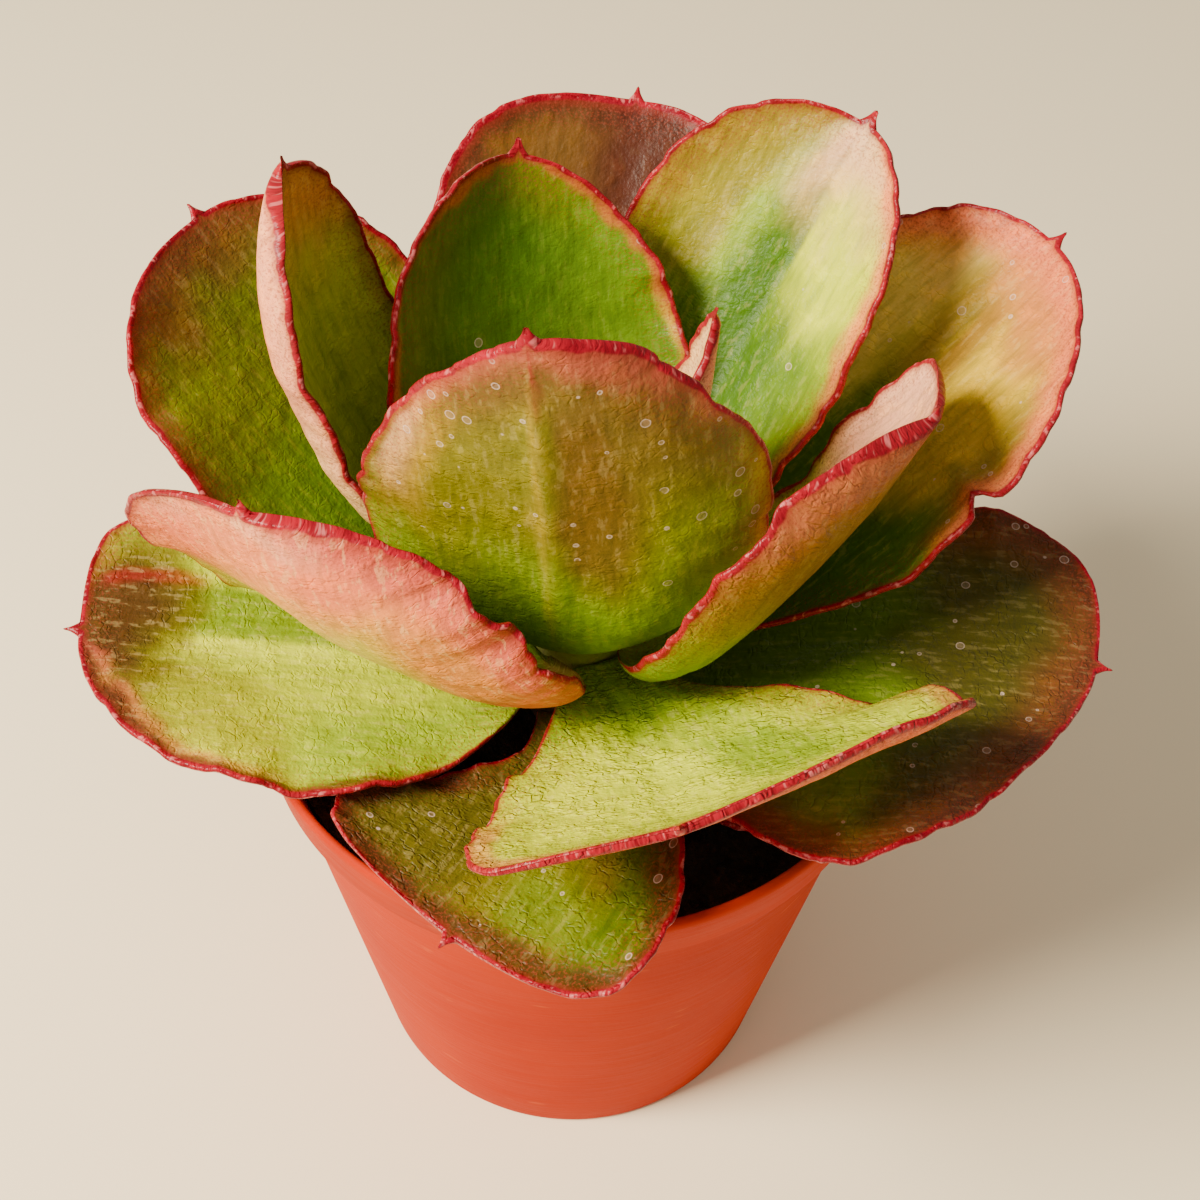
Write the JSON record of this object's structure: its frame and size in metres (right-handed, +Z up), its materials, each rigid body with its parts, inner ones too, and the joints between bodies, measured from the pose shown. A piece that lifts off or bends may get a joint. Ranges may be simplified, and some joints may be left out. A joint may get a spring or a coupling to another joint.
{
  "type": "potted echeveria",
  "caption": "Rosette succulent with broad waved leaves on a short stem, in a round tapered plastic pot of dark soil",
  "frame": {"origin": "centre of the pot's flat underside, where it rests on a table", "axes": "+Z up through the pot, -Y towards the side seen in the picture, +X to the right in the picture"},
  "size_m": [0.1613, 0.1445, 0.1782],
  "materials": {
    "pot_plastic": "satin terracotta-coloured plastic with faint scuffs",
    "soil_mix": "dark damp peat with small lumps",
    "stem_bark": "rough brown-green stem",
    "leaf_skin": "fleshy green leaf with a red waxy margin and pink blushed back"
  },
  "bodies": {
    "root": {"pot": "pot_plastic", "soil": "soil_mix", "stem": "stem_bark", "leaf_front_upright": "leaf_skin", "leaf_back_centre": "leaf_skin", "leaf_back_right": "leaf_skin", "leaf_right_back": "leaf_skin", "leaf_left_upright": "leaf_skin", "leaf_left_back": "leaf_skin", "leaf_far_back": "leaf_skin", "leaf_low_back": "leaf_skin", "leaf_right_curled": "leaf_skin", "leaf_right_low": "leaf_skin", "leaf_front": "leaf_skin", "leaf_left_curled": "leaf_skin", "leaf_left_low": "leaf_skin", "leaf_front_low": "leaf_skin", "leaf_low_right_front": "leaf_skin", "leaf_inner_right": "leaf_skin", "leaf_bud_left": "leaf_skin", "leaf_bud_back": "leaf_skin"}
  },
  "joints": []
}
